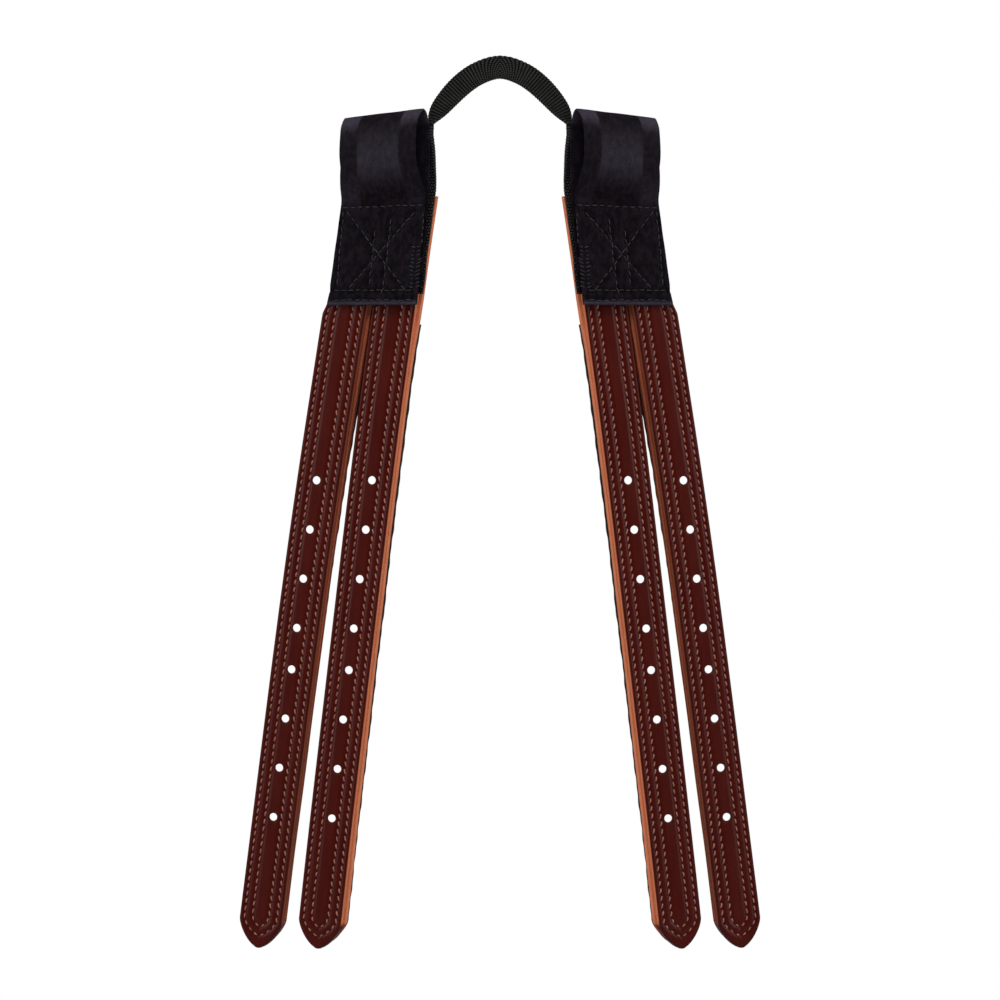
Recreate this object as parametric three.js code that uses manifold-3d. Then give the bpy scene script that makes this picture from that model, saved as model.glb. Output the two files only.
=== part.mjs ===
// A pair of twin girth billets for a saddle. Two sewn units hang from one short ribbed strap. Each unit is a
// loop of smooth webbing box-stitched over the heads of two stitched leather billets, punched with eight holes.
// Millimetres, +Z up, the front of the object faces -Y, and the origin is the middle of the connecting strap,
// which is where the object hangs. The left unit is modelled, and the right one is its mirror image in X.
import * as THREE from "three";
import { mergeVertices } from "three/addons/utils/BufferGeometryUtils.js";
import Module from "manifold-3d";

const wasm = await Module();
wasm.setup();

const deg = Math.PI / 180;

// ---- Driving dimensions ----
const layerGap = 0.3; // free space between two pieces that lie on each other

const strapWidth = 20; // ribbed connecting strap
const strapThickness = 2.4;
const archReach = 39; // from the middle of the arch out to where the strap turns down, along X
const archDrop = 33; // and down to the same place, along Z
const archBank = 40; // degrees that the strap tips up towards the front at the top of the arch
const flexGap = 1.6; // free length of strap left open at each unit's swing line
const tailStep = 2.6; // how much further in the tail's front edge lies where it passes the loop

const unitTurn = 20; // degrees that each unit's face is turned outwards about Z
const unitReach = archReach + 0.7; // from the middle of the object to a unit's inner edge
const unitDepth = 9.8; // and from the middle of the strap forward to it
const unitTop = 27; // from the origin down to the top of the webbing loop
const freeLoop = 53; // from there down to the first row of the box stitching
const patchLength = 58; // length of the sewn patch, down to the webbing's hem

const webWidth = 50.8; // smooth loop webbing
const webThickness = 1.3;
const loopOpening = 13; // clear space between the loop's front and back legs, front to back
const openingTaper = 0.5; // share of that opening lost by the unit's outer edge
const loopInset = 0.8; // the back leg's distance outboard of the unit's inner edge
const legShift = 1.3; // how much further outboard the front leg lies
const legSwing = 2.6; // and how much more where it stands open
const patchSpread = 3.2; // how much wider than the web the front leg is pressed over the billet heads
const webLean = 0.09; // how far the webbing runs outboard for each millimetre down the patch
const tailLean = 0.13; // the same for the strap's tail
const hemFlare = 2.4; // how much wider still at its turned hem

const billetWidth = 26.8;
const faceThickness = 3.6; // front leather
const backThickness = 3.8; // second leather
const nylonThickness = 1.4; // woven reinforcement on the back
const nylonWidth = 24;
const nylonStart = 9; // distance below the hem at which the reinforcement starts
const headCover = 5; // length of billet head above the first row of box stitching
const billetDrop = 437.2; // height from a billet's head to its tip
const tipLength = 16.2; // pointed part of a billet
const tipNose = 1.7; // half width of the blunt nose

const holeDiameter = 4.8;
const holePitch = 29;
const holeGroupGap = 24.4; // spacing between the upper four holes and the lower four
const holesPerGroup = 4;
const firstHole = 164.5; // height from a billet's head to its top hole

const edgeSeamInset = 3.2; // rows of stitching, measured from the billet's edge
const innerSeamInset = 8.2;
const seamThread = 0.9;
const seamGroove = 1.6;
const grooveDepth = 0.8;
const threadRise = 0.3; // how far a seam stands out of the leather

const boxThread = 0.9;
const boxMargin = 4; // from the webbing's edge to the box stitching

// Where each billet's centre line runs in the unit's own plane: head, bend and tip, as distances in from the
// unit's inner edge.
const billetLines = {
  outer: { head: 42.3, bend: 73, bendDrop: 160, tip: 108.7 },
  inner: { head: 14.9, bend: 43, bendDrop: 178, tip: 72.6 },
};

// How far the second leather stands out beyond the face on the side near the middle: where the billet bends,
// a little further down, and at the tip. The outer one is kept narrow at its bend, to swing past the inner one.
const overhangs = { outer: [0.7, 1.8, 0.8], inner: [3, 3, 1.1] };
const overhangGrowth = [14, 46]; // distances below the bend between which the second value is reached

// ---- Worked-out places ----
const patchTop = -(unitTop + freeLoop);
const hem = patchTop - patchLength;
const billetHead = patchTop + headCover;
const billetThickness = faceThickness + backThickness + nylonThickness + 2 * layerGap;
const flexLine = hem - billetThickness / 2 - 0.7; // height of the axis that a billet bends about
const strapFront = layerGap; // front of the strap's tail, behind the loop's back leg
const billetFront = {
  outer: layerGap, // straight behind the webbing
  inner: 2 * layerGap + strapThickness, // behind the strap's tail
};
const tailEnd = hem + 6;

// ---- Materials ----
const material = (color, roughness) => new THREE.MeshStandardMaterial({ color, roughness, metalness: 0 });
const burgundyLeather = material(0x4a1410, 0.45);
const tanLeather = material(0xb5613a, 0.75);
const blackNylon = material(0x141316, 0.8);
const satinWebbing = material(0x1c1b22, 0.5);
const brownThread = material(0x9c6a5c, 0.7);
const blackThread = material(0x2c2c33, 0.7);

// ---- Solids and meshes ----
function solid(geometry) {
  const bare = geometry.clone();
  bare.deleteAttribute("normal");
  bare.deleteAttribute("uv");
  const merged = mergeVertices(bare, 1e-4);
  return new wasm.Manifold(
    new wasm.Mesh({
      numProp: 3,
      vertProperties: merged.attributes.position.array,
      triVerts: new Uint32Array(merged.index.array),
    }),
  );
}

function geometryOf(manifold) {
  const mesh = manifold.getMesh();
  const geometry = new THREE.BufferGeometry();
  geometry.setAttribute("position", new THREE.BufferAttribute(new Float32Array(mesh.vertProperties), 3));
  geometry.setIndex(new THREE.BufferAttribute(new Uint32Array(mesh.triVerts), 1));
  geometry.computeVertexNormals();
  return geometry;
}

// Moves every vertex of a geometry through a function of its position.
function warp(geometry, move) {
  const positions = geometry.attributes.position;
  const point = new THREE.Vector3();
  for (let i = 0; i < positions.count; i++) {
    move(point.fromBufferAttribute(positions, i));
    positions.setXYZ(i, point.x, point.y, point.z);
  }
  geometry.computeVertexNormals();
  return geometry;
}

const smooth = THREE.MathUtils.smoothstep;

// A flat strip carried along a path. frameAt(t) gives the strip's middle, the direction across it and the
// direction through it, for t from 0 at one end to 1 at the other.
function strip(width, thickness, steps, frameAt, acrossSteps = 1) {
  const box = new THREE.BoxGeometry(1, 1, 1, acrossSteps, 1, steps);
  return warp(box, (point) => {
    const frame = frameAt(0.5 - point.z);
    const across = point.x * (frame.width ?? width);
    const through = point.y * (frame.thickness ?? thickness);
    point.copy(frame.middle).addScaledVector(frame.across, across).addScaledVector(frame.through, through);
  });
}

// ---- Connecting strap ----
// One strap from unit to unit. Its width is tipped up towards the front at the top of the arch, and stands on
// edge, along Y, where it turns down. The places it runs through are shares of the arch's reach and drop.
const archShares = [
  [1, 1.2],
  [1, 1],
  [0.91, 0.75],
  [0.66, 0.41],
  [0.35, 0.125],
  [0, 0],
  [-0.35, 0.125],
  [-0.66, 0.41],
  [-0.91, 0.75],
  [-1, 1],
  [-1, 1.2],
];
const archPath = new THREE.CatmullRomCurve3(
  archShares.map(([reach, drop]) => new THREE.Vector3(-reach * archReach, 0, -drop * archDrop)),
);
const archTurn = 1 / (archShares.length - 1); // where on that path the strap has turned down

function archFrame(t) {
  const at = archTurn + (1 - 2 * archTurn) * t;
  const middle = archPath.getPoint(at);
  const along = archPath.getTangent(at);
  const bank = archBank * deg * (1 - Math.abs(2 * t - 1) ** 3);
  const back = new THREE.Vector3(0, 1, 0);
  const outward = along.clone().cross(back).normalize(); // away from the arch's inside
  const across = back.clone().multiplyScalar(Math.cos(bank)).addScaledVector(outward, Math.sin(bank));
  return { middle, across, through: across.clone().cross(along).normalize() };
}

function archGeometry() {
  const trim = flexGap / 2 / archPath.getLength();
  return strip(strapWidth, strapThickness, 28, (t) => archFrame(trim + (1 - 2 * trim) * t));
}

// ---- A unit's own frame: x runs in towards the middle, y to the back, z up ----
const unitOrigin = new THREE.Vector3(-unitReach, -unitDepth, 0);

// How far a piece that leans outboard below the loop has moved at a given height.
const leaning = (lean, z) => -lean * Math.max(0, patchTop + 8 - z);

// ---- Tail of the strap, from the swing line down into the patch ----
// The tail's front edge stays at the unit's inner edge while the strap turns from standing on edge to lying
// flat behind the loop. It lies flat from a cross-section just above the billet heads on down.
const twistSteps = 6;
const flatSteps = 8;
function tailGeometry() {
  const top = -archDrop - flexGap / 2;
  const onEdge = (90 - unitTurn) * deg;
  const flatFrom = billetHead + layerGap;
  return strip(strapWidth, strapThickness, twistSteps + flatSteps, (t) => {
    const step = t * (twistSteps + flatSteps);
    const twisting = step < twistSteps;
    const z = twisting
      ? THREE.MathUtils.lerp(top, flatFrom, step / twistSteps)
      : THREE.MathUtils.lerp(flatFrom, tailEnd, (step - twistSteps) / flatSteps);
    const turned = onEdge * smooth(z, flatFrom, top - 1);
    const across = new THREE.Vector3(Math.cos(turned), -Math.sin(turned), 0);
    const through = new THREE.Vector3(Math.sin(turned), Math.cos(turned), 0);
    const inwards = tailStep * (1 - smooth(z, billetHead + 9, -unitTop - 9)) - 0.6;
    const edge = new THREE.Vector3(leaning(tailLean, z) + inwards, strapFront, z);
    return {
      middle: edge.addScaledVector(across, -strapWidth / 2).addScaledVector(through, strapThickness / 2),
      across,
      through,
    };
  });
}

// ---- Webbing loop ----
// The loop's path seen from the side, as depth and height: up the back leg, over the fold, down the front leg
// and flat on the patch.
const legBack = -webThickness / 2;
const legFront = -webThickness * 1.5 - layerGap;
const bulge = legBack - webThickness - loopOpening;
const loopPath = new THREE.CatmullRomCurve3(
  [
    new THREE.Vector3(0, legBack, hem + 1),
    new THREE.Vector3(0, legBack, patchTop - 25),
    new THREE.Vector3(0, legBack, patchTop),
    new THREE.Vector3(0, legBack, patchTop + 22),
    new THREE.Vector3(0, legBack - 0.4, -unitTop - 12),
    new THREE.Vector3(0, legBack - 0.3 * loopOpening, -unitTop - 2.5),
    new THREE.Vector3(0, legBack - 0.66 * loopOpening, -unitTop - webThickness / 2),
    new THREE.Vector3(0, bulge + 1.2, -unitTop - 4.5),
    new THREE.Vector3(0, bulge, -unitTop - 13),
    new THREE.Vector3(0, bulge + 3.2, -unitTop - 27),
    new THREE.Vector3(0, bulge + 7.6, -unitTop - 40),
    new THREE.Vector3(0, legFront - 1.4, patchTop + 5),
    new THREE.Vector3(0, legFront, patchTop - 3),
    new THREE.Vector3(0, legFront, patchTop - 25),
    new THREE.Vector3(0, legFront, hem),
  ],
  false,
  "centripetal",
);
const foldSlope = 0.095; // the fold runs uphill towards the inner edge

function loopGeometry() {
  return strip(
    webWidth,
    webThickness,
    46,
    (t) => {
      const middle = loopPath.getPointAt(t);
      const along = loopPath.getTangentAt(t);
      const climb = foldSlope * smooth(middle.z, hem, -unitTop);
      const front = smooth(t, 0.4, 0.62);
      const spread = patchSpread * (1 - 1.5 * smooth(middle.z, hem + 12, patchTop + 24));
      const flare = spread + hemFlare * (1 - smooth(middle.z, hem, hem + 9));
      const width = webWidth + front * flare;
      const depth = Math.min(0, middle.y - legFront); // how far it stands forward of the sewn patch
      const across = new THREE.Vector3(1, (openingTaper * depth) / width, climb);
      const through = new THREE.Vector3(1, 0, 0).cross(along).normalize();
      const open = smooth(middle.z, patchTop + 2, patchTop + 22) * (1 - smooth(middle.z, -unitTop - 7, -unitTop + 3));
      middle.x = -width / 2 - loopInset - (legShift + legSwing * open) * front + leaning(webLean, middle.z);
      middle.y -= (openingTaper * depth) / 2;
      return { middle, across, through, width };
    },
    2,
  );
}

// ---- Billets ----
// x of the webbing's outboard edge over the patch, which the heads stay behind.
function headRoom(z) {
  const lean = leaning(webLean, z) - patchSpread * (1 - 1.5 * smooth(z, hem + 12, patchTop + 24));
  return lean - webWidth - loopInset - legShift + 1 - 80 * (1 - smooth(z, hem - 2.5, hem + 2));
}

// A point of a billet from its distance across the centre line and its distance down it.
function billetLine(which) {
  const line = billetLines[which];
  const curve = new THREE.QuadraticBezierCurve(
    new THREE.Vector2(-line.head, billetHead),
    new THREE.Vector2(-line.bend, billetHead - line.bendDrop),
    new THREE.Vector2(-line.tip, billetHead - billetDrop),
  );
  const length = curve.getLength();
  return {
    length,
    // How far down the line a given height is.
    distanceAt(drop) {
      let low = 0;
      let high = 1;
      for (let i = 0; i < 40; i++) {
        const middle = (low + high) / 2;
        if (billetHead - curve.getPointAt(middle).y < drop) low = middle;
        else high = middle;
      }
      return low * length;
    },
    place(across, down) {
      const u = Math.min(1, Math.max(0, down / length));
      const point = curve.getPointAt(u);
      const tangent = curve.getTangentAt(u);
      const beyond = down - u * length;
      const room = Math.min(1, (point.x - headRoom(point.y)) / (billetWidth / 2));
      const shifted = across < 0 ? across * room : across;
      return point
        .addScaledVector(tangent, beyond)
        .addScaledVector(new THREE.Vector2(-tangent.y, tangent.x), shifted);
    },
  };
}

// The outline of a billet, or of a row of stitching, a distance inside its edge.
function outlinePoints(length, inset, width = billetWidth) {
  const half = width / 2 - inset;
  const shoulder = length - tipLength - 0.2 * inset;
  const nose = Math.max(0.3, tipNose - 0.6 * inset);
  const apex = length - 1.35 * inset;
  const side = new THREE.CubicBezierCurve(
    new THREE.Vector2(half, shoulder),
    new THREE.Vector2(0.96 * half, shoulder + 0.3 * (apex - shoulder)),
    new THREE.Vector2(nose + 0.42 * half, apex - 0.18 * (apex - shoulder)),
    new THREE.Vector2(nose, apex - 0.3 * nose),
  );
  return side.getPoints(5);
}

const headStep = 7; // spacing of the outline's points where a billet follows the webbing
const freeStep = 44; // and below that
function runPoints(length, top, inset, width) {
  const tip = outlinePoints(length, inset, width);
  const right = [];
  let down = top;
  while (down < tip[0].y - 4) {
    right.push(new THREE.Vector2(tip[0].x, down));
    down += down < patchLength + 2 * headStep ? headStep : freeStep;
  }
  const half = [...right, ...tip];
  const mirrored = half.map((p) => new THREE.Vector2(-p.x, p.y)).reverse();
  return [...half, ...mirrored];
}

// A layer of a billet: its outline laid along the centre line, and its thickness from the front face back.
function plate(points, line, front, thickness) {
  const shape = new THREE.Shape(points.map((p) => line.place(p.x, p.y)));
  const geometry = new THREE.ExtrudeGeometry(shape, { depth: thickness, bevelEnabled: false });
  return solid(warp(geometry, (point) => point.set(point.x, front + thickness - point.z, point.y)));
}

// A row of stitching as a band that runs down one edge, round the point and up the other.
function seamBand(line, top, inset, bandWidth, front, thickness) {
  const outside = runPoints(line.length, top, inset - bandWidth / 2);
  const inside = runPoints(line.length, top, inset + bandWidth / 2);
  return plate([...outside, ...inside.reverse()], line, front, thickness);
}

// Everything below the line that a billet bends about, with the full-round end that it turns on.
function belowFlex(front) {
  const middle = front + billetThickness / 2;
  const radius = billetThickness / 2;
  const profile = new THREE.Shape();
  profile.moveTo(front, flexLine);
  profile.absarc(middle, flexLine, radius, Math.PI, 0, true);
  profile.lineTo(front + billetThickness, flexLine - 2 * billetDrop);
  profile.lineTo(front, flexLine - 2 * billetDrop);
  const across = 400;
  const bar = new THREE.ExtrudeGeometry(profile, { depth: across, bevelEnabled: false, curveSegments: 10 });
  return solid(warp(bar, (point) => point.set(point.z - 0.75 * across, point.x, point.y)));
}

function slab(low, high) {
  const box = new THREE.BoxGeometry(400, 60, high - low);
  return solid(box.translate(-100, 0, (low + high) / 2));
}

// The punched holes lean with the unit's turn, so that they run straight front to back.
function punches(line, front) {
  const drops = [];
  for (let group = 0; group < 2; group++) {
    for (let i = 0; i < holesPerGroup; i++) {
      drops.push(group * ((holesPerGroup - 1) * holePitch + holeGroupGap) + i * holePitch);
    }
  }
  const start = line.distanceAt(firstHole);
  const length = 4 * billetThickness;
  return drops.map((drop) => {
    const place = line.place(0, start + drop);
    const punch = new THREE.CylinderGeometry(holeDiameter / 2, holeDiameter / 2, length, 10);
    return solid(punch.rotateZ(unitTurn * deg).translate(place.x, front, place.y));
  });
}

function billetPieces(which) {
  const line = billetLine(which);
  const front = billetFront[which];
  const back = front + faceThickness + layerGap;
  const nylonFront = back + backThickness + layerGap;
  const head = slab(flexLine + billetThickness / 2 + 0.4, 0);
  const free = belowFlex(front);
  const holes = wasm.Manifold.union(punches(line, front));
  const outline = runPoints(line.length, 0, 0);
  const face = plate(outline, line, front, faceThickness);
  const [bendOverhang, freeOverhang, tipOverhang] = overhangs[which];
  const inHead = line.distanceAt(billetHead - hem);
  const second = plate(
    outline.map(({ x, y }) => {
      const share = THREE.MathUtils.clamp((y - inHead) / (line.length - inHead), 0, 1);
      const grown = smooth(y - inHead, ...overhangGrowth);
      const tapered = THREE.MathUtils.lerp(freeOverhang, tipOverhang, share);
      const overhang = THREE.MathUtils.lerp(bendOverhang, tapered, grown);
      const starting = which === "outer" ? smooth(y, inHead - 8, inHead) : 0.6 + 0.4 * smooth(y, 0, inHead);
      return new THREE.Vector2(x > 0 ? x + (overhang * starting * x) / (billetWidth / 2) : x, y);
    }),
    line,
    back,
    backThickness,
  );
  const nylonTop = line.distanceAt(billetHead - hem + nylonStart);
  const seamTop = line.distanceAt(billetHead - flexLine + 2);
  const nylon = plate(
    runPoints(line.length - 1, nylonTop, 0, nylonWidth),
    line,
    nylonFront,
    nylonThickness,
  );
  const seams = [
    ["edge_seam", edgeSeamInset],
    ["inner_seam", innerSeamInset],
  ];
  let grooved = face.intersect(free).subtract(holes);
  const pieces = [
    ["head_face", face.intersect(head), burgundyLeather],
    ["head_back", second.intersect(head), tanLeather],
    ["back_leather", second.intersect(free).subtract(holes), tanLeather],
    ["nylon_backing", nylon.subtract(holes), blackNylon],
  ];
  for (const [name, inset] of seams) {
    grooved = grooved.subtract(
      seamBand(line, seamTop - 2, inset, seamGroove, front - grooveDepth, 2 * grooveDepth),
    );
    const thread = seamBand(line, seamTop, inset, seamThread, front - threadRise, grooveDepth - layerGap + threadRise);
    pieces.push([name, thread, brownThread]);
  }
  pieces.push(["face_leather", grooved, burgundyLeather]);
  return pieces.map(([name, piece, look]) => [`${which}_billet_${name}`, geometryOf(piece), look]);
}

// ---- Box stitching over the patch: four sides and two diagonals, one thread ----
function boxStitchGeometry() {
  const front = legFront - webThickness / 2 - layerGap - boxThread / 2;
  const centre = (z) => -webWidth / 2 - loopInset - legShift + leaning(webLean, z);
  const half = webWidth / 2 - boxMargin;
  const top = patchTop - 1.5;
  const bottom = hem + boxMargin;
  const corner = (side, z) => new THREE.Vector3(centre(z) + side * half, front, z + foldSlope * side * half * 0.5);
  const ends = [corner(-1, top), corner(1, top), corner(1, bottom), corner(-1, bottom)];
  const rows = [
    [0, 1],
    [1, 2],
    [2, 3],
    [3, 0],
    [0, 2],
    [1, 3],
  ];
  const threads = rows.map(([a, b]) => {
    const run = new THREE.Vector3().subVectors(ends[b], ends[a]);
    const row = new THREE.BoxGeometry(run.length() + boxThread, boxThread, boxThread);
    row.rotateY(-Math.atan2(run.z, run.x));
    const middle = ends[a].clone().addScaledVector(run, 0.5);
    return solid(row.translate(middle.x, middle.y, middle.z));
  });
  return geometryOf(wasm.Manifold.union(threads));
}

// ---- Assembly ----
function side(name, mirror) {
  const whole = new THREE.Group();
  whole.scale.x = mirror;
  const add = (parent, part, geometry, look) => {
    const mesh = new THREE.Mesh(geometry, look);
    mesh.name = `${name}_${part}`;
    parent.add(mesh);
  };
  const unit = new THREE.Group();
  unit.position.copy(unitOrigin);
  unit.rotation.z = -unitTurn * deg;
  add(unit, "strap_tail", tailGeometry(), blackNylon);
  add(unit, "loop_webbing", loopGeometry(), satinWebbing);
  add(unit, "box_stitching", boxStitchGeometry(), blackThread);
  for (const which of ["outer", "inner"]) {
    for (const [part, geometry, look] of billetPieces(which)) add(unit, part, geometry, look);
  }
  whole.add(unit);
  return whole;
}

const connectingStrap = new THREE.Mesh(archGeometry(), blackNylon);
connectingStrap.name = "connecting_strap";

const billets = new THREE.Group();
billets.add(connectingStrap, side("left", 1), side("right", -1));

export default billets;
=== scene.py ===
"""Twin girth billets for a saddle: two webbing-and-leather units hanging from one short ribbed strap."""

import math

import bpy
import numpy as np
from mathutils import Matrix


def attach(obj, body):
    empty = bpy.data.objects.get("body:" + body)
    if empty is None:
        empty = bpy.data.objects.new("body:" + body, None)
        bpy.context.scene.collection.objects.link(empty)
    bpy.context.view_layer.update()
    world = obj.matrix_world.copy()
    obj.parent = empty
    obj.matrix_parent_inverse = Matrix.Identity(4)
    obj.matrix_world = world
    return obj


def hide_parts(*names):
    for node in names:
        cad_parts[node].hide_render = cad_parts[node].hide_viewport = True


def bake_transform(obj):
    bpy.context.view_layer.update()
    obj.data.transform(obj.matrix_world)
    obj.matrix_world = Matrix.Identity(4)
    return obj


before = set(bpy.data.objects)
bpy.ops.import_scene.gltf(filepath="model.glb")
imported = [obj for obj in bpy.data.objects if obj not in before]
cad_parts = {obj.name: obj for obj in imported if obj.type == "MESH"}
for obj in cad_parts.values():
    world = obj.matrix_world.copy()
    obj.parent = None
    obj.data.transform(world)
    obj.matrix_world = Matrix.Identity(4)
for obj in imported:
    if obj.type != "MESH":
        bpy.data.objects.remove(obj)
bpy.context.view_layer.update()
scene = bpy.context.scene

# ======== Studio ========
# A white product studio. The camera is level and far away, in front of the hanging billets, with a long lens.
# Two tall soft lights stand in front at the sides, one shines from high in front and one hangs above. A pale
# floor lies well below.
view_width = 0.58  # metres across at the billets
camera_distance = 5.0
view_centre = -0.251

camera = bpy.data.objects.new("camera", bpy.data.cameras.new("camera"))
camera.location = (0, -camera_distance, view_centre)
camera.rotation_euler = (math.radians(90), 0, 0)
camera.data.sensor_width = 36
camera.data.lens = 36 * camera_distance / view_width
camera.data.clip_end = 60
scene.collection.objects.link(camera)
scene.camera = camera
scene.view_settings.view_transform = "Standard"


def add_node(tree, kind, inputs=None, **settings):
    """Adds a shader node. An input given as another node's output is linked, and any other is a value."""
    made = tree.nodes.new(kind)
    for key, value in settings.items():
        setattr(made, key, value)
    for key, value in (inputs or {}).items():
        if isinstance(value, bpy.types.NodeSocket):
            tree.links.new(value, made.inputs[key])
        else:
            made.inputs[key].default_value = value
    return made


def calculate(tree, operation, *values, clamp=False):
    """The output of a maths node."""
    return add_node(
        tree, "ShaderNodeMath", dict(enumerate(values)), operation=operation, use_clamp=clamp
    ).outputs[0]


def mix_colours(tree, share, first, second):
    """The first colour where share is 0, the second where it is 1. Colours are linear red, green and blue."""
    ends = [c if isinstance(c, bpy.types.NodeSocket) else (*c, 1) for c in (first, second)]
    mix = add_node(tree, "ShaderNodeMix", {0: share, 6: ends[0], 7: ends[1]}, data_type="RGBA")
    return mix.outputs[2]


def noise(tree, where, scale, detail=3.0, roughness=0.55):
    """Soft random cloud between 0 and 1."""
    inputs = {"Vector": where, "Scale": scale, "Detail": detail, "Roughness": roughness}
    return add_node(tree, "ShaderNodeTexNoise", inputs).outputs["Fac"]


def stretch(tree, where, scale):
    """Coordinates multiplied by a scale for each direction."""
    return add_node(tree, "ShaderNodeVectorMath", {0: where, 1: scale}, operation="MULTIPLY").outputs[0]


def attribute(tree, name, output="Fac"):
    """What the mesh keeps for each of its points under that name."""
    return add_node(tree, "ShaderNodeAttribute", attribute_name=name).outputs[output]


def raised(tree, height, distance, strength=1.0, normal=None):
    """A surface normal bumped by a height from 0 to 1; distance is the size of the bump in metres."""
    inputs = {"Height": height, "Distance": distance, "Strength": strength}
    if normal is not None:
        inputs["Normal"] = normal
    return add_node(tree, "ShaderNodeBump", inputs).outputs["Normal"]


def new_material(name, roughness, specular):
    """A material with its tree and its surface shader."""
    material = bpy.data.materials.new(name)
    material.use_nodes = True
    shader = material.node_tree.nodes["Principled BSDF"]
    shader.inputs["Roughness"].default_value = roughness
    shader.inputs["Specular IOR Level"].default_value = specular
    return material, material.node_tree, shader


def smooth_between(low, high, value):
    """0 below low, 1 above high, and a smooth rise between them."""
    share = np.clip((value - low) / (high - low), 0, 1)
    return share * share * (3 - 2 * share)


studio_world = bpy.data.worlds.new("white studio")
studio_world.use_nodes = True
world_tree = studio_world.node_tree
seen = add_node(world_tree, "ShaderNodeLightPath").outputs["Is Camera Ray"]
glow = calculate(world_tree, "MULTIPLY_ADD", seen, 0.95, 0.05)
world_tree.links.new(glow, world_tree.nodes["Background"].inputs["Strength"])
world_tree.nodes["Background"].inputs["Color"].default_value = (1, 1, 1, 1)
scene.world = studio_world


def soft_light(name, place, size, power):
    """A rectangular soft light aimed at the middle of the billets."""
    lamp = bpy.data.lights.new(name, "AREA")
    lamp.shape = "RECTANGLE"
    lamp.size, lamp.size_y = size
    lamp.energy = power
    holder = bpy.data.objects.new(name, lamp)
    scene.collection.objects.link(holder)
    holder.location = place
    aim = holder.location.copy()
    aim.z -= view_centre
    holder.rotation_euler = aim.to_track_quat("Z", "Y").to_euler()


soft_light("left soft light", (-2.0, -0.9, 0.3), (0.9, 1.5), 34)
soft_light("right soft light", (2.0, -0.9, 0.3), (0.9, 1.5), 34)
soft_light("front soft light", (0.0, -1.5, 1.25), (1.5, 0.7), 33)
soft_light("top soft light", (0.0, -0.3, 1.9), (1.4, 0.7), 14)

floor_level = -0.75
floor_reach = 2.2
floor_mesh = bpy.data.meshes.new("studio floor")
corners = [(-1, -1), (1, -1), (1, 1), (-1, 1)]
floor_points = [(floor_reach * x, floor_reach * y, floor_level) for x, y in corners]
floor_mesh.from_pydata(floor_points, [], [(0, 1, 2, 3)])
floor = bpy.data.objects.new("studio floor", floor_mesh)
scene.collection.objects.link(floor)
floor_look, floor_tree, floor_shader = new_material("pale floor", 0.8, 0.2)
floor_place = add_node(floor_tree, "ShaderNodeTexCoord").outputs["Object"]
floor_cloud = noise(floor_tree, floor_place, 2.0)
floor_colour = mix_colours(floor_tree, floor_cloud, (0.62, 0.62, 0.61), (0.66, 0.66, 0.66))
floor_tree.links.new(floor_colour, floor_shader.inputs["Base Color"])
floor_mesh.materials.append(floor_look)

# ======== Connecting strap ========
# One 20 mm strap of heavy ribbed nylon webbing, bent into an arch that the whole thing hangs from. Each end
# turns down, twists from standing on edge to lying flat, and is sewn in under the webbing of a unit. It is
# made as two halves that meet in the crease at the top, one for each side.
strap_width = 20.4  # millimetres from here on
strap_thickness = 2.4
arch_reach = 39.2
arch_drop = 33.4
arch_bank = math.radians(40)
patch_top = -80.0
hem_line = -138.0
unit_turn = math.radians(20)
tail_lean = 0.13
tail_end = hem_line + 6
billet_head = -75.0
rib_pitch = 1.75
rib_height = 0.34
yarn_pitch = 1.58
strap_step = 0.29
corner_level = -37.0  # where the strap is pulled against the loop's corner
corner_spread = 7.0
corner_pull = 0.9
corner_swell = 0.45
crease_length = 9.0  # the crease at the top of the arch, where the ribs lean and the strap dips
crease_slant = 0.42
crease_dip = 0.25
arch_shares = [
    (1, 1.2),
    (1, 1),
    (0.91, 0.75),
    (0.66, 0.41),
    (0.35, 0.125),
    (0, 0),
    (-0.35, 0.125),
    (-0.66, 0.41),
    (-0.91, 0.75),
    (-1, 1),
    (-1, 1.2),
]


def spline(knots, samples):
    """Points of a smooth curve through the knots, at knot numbers such as 2.5."""
    knots = np.asarray(knots, float)
    samples = np.asarray(samples, float)
    padded = np.vstack([2 * knots[0] - knots[1], knots, 2 * knots[-1] - knots[-2]])
    segment = np.minimum(samples.astype(int), len(knots) - 2)
    share = (samples - segment)[:, None]
    before, start, end, after = (padded[segment + i] for i in range(4))
    stretches = ((before, start), (start, end), (end, after))
    gaps = [np.sqrt(np.linalg.norm(b - a, axis=1))[:, None] for a, b in stretches]
    leave = (start - before) / gaps[0] - (end - before) / (gaps[0] + gaps[1]) + (end - start) / gaps[1]
    arrive = (end - start) / gaps[1] - (after - start) / (gaps[1] + gaps[2]) + (after - end) / gaps[2]
    leave, arrive = leave * gaps[1], arrive * gaps[1]
    square = -3 * start + 3 * end - 2 * leave - arrive
    cube = 2 * start - 2 * end + leave + arrive
    return start + leave * share + square * share**2 + cube * share**3


def directions(points):
    """The unit direction of travel at every point of a path."""
    along = np.gradient(points, axis=0)
    return along / np.linalg.norm(along, axis=1, keepdims=True)


def travelled(points):
    """The distance travelled along a path at each of its points."""
    return np.concatenate([[0], np.cumsum(np.linalg.norm(np.diff(points, axis=0), axis=1))])


def leaning(lean, z):
    """How far outboard a piece has moved at a height, if it leans below the loop."""
    return -lean * np.maximum(0, patch_top + 8 - z)


def from_unit(points):
    """The scene's points for those of the left unit's frame: x runs in to the middle and y to the back."""
    x, y, z = points[..., 0], points[..., 1], points[..., 2]
    cosine, sine = math.cos(unit_turn), math.sin(unit_turn)
    across = -39.7 + x * cosine + y * sine
    depth = -9.8 - x * sine + y * cosine
    return np.stack([across, depth, z], axis=-1)


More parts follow.
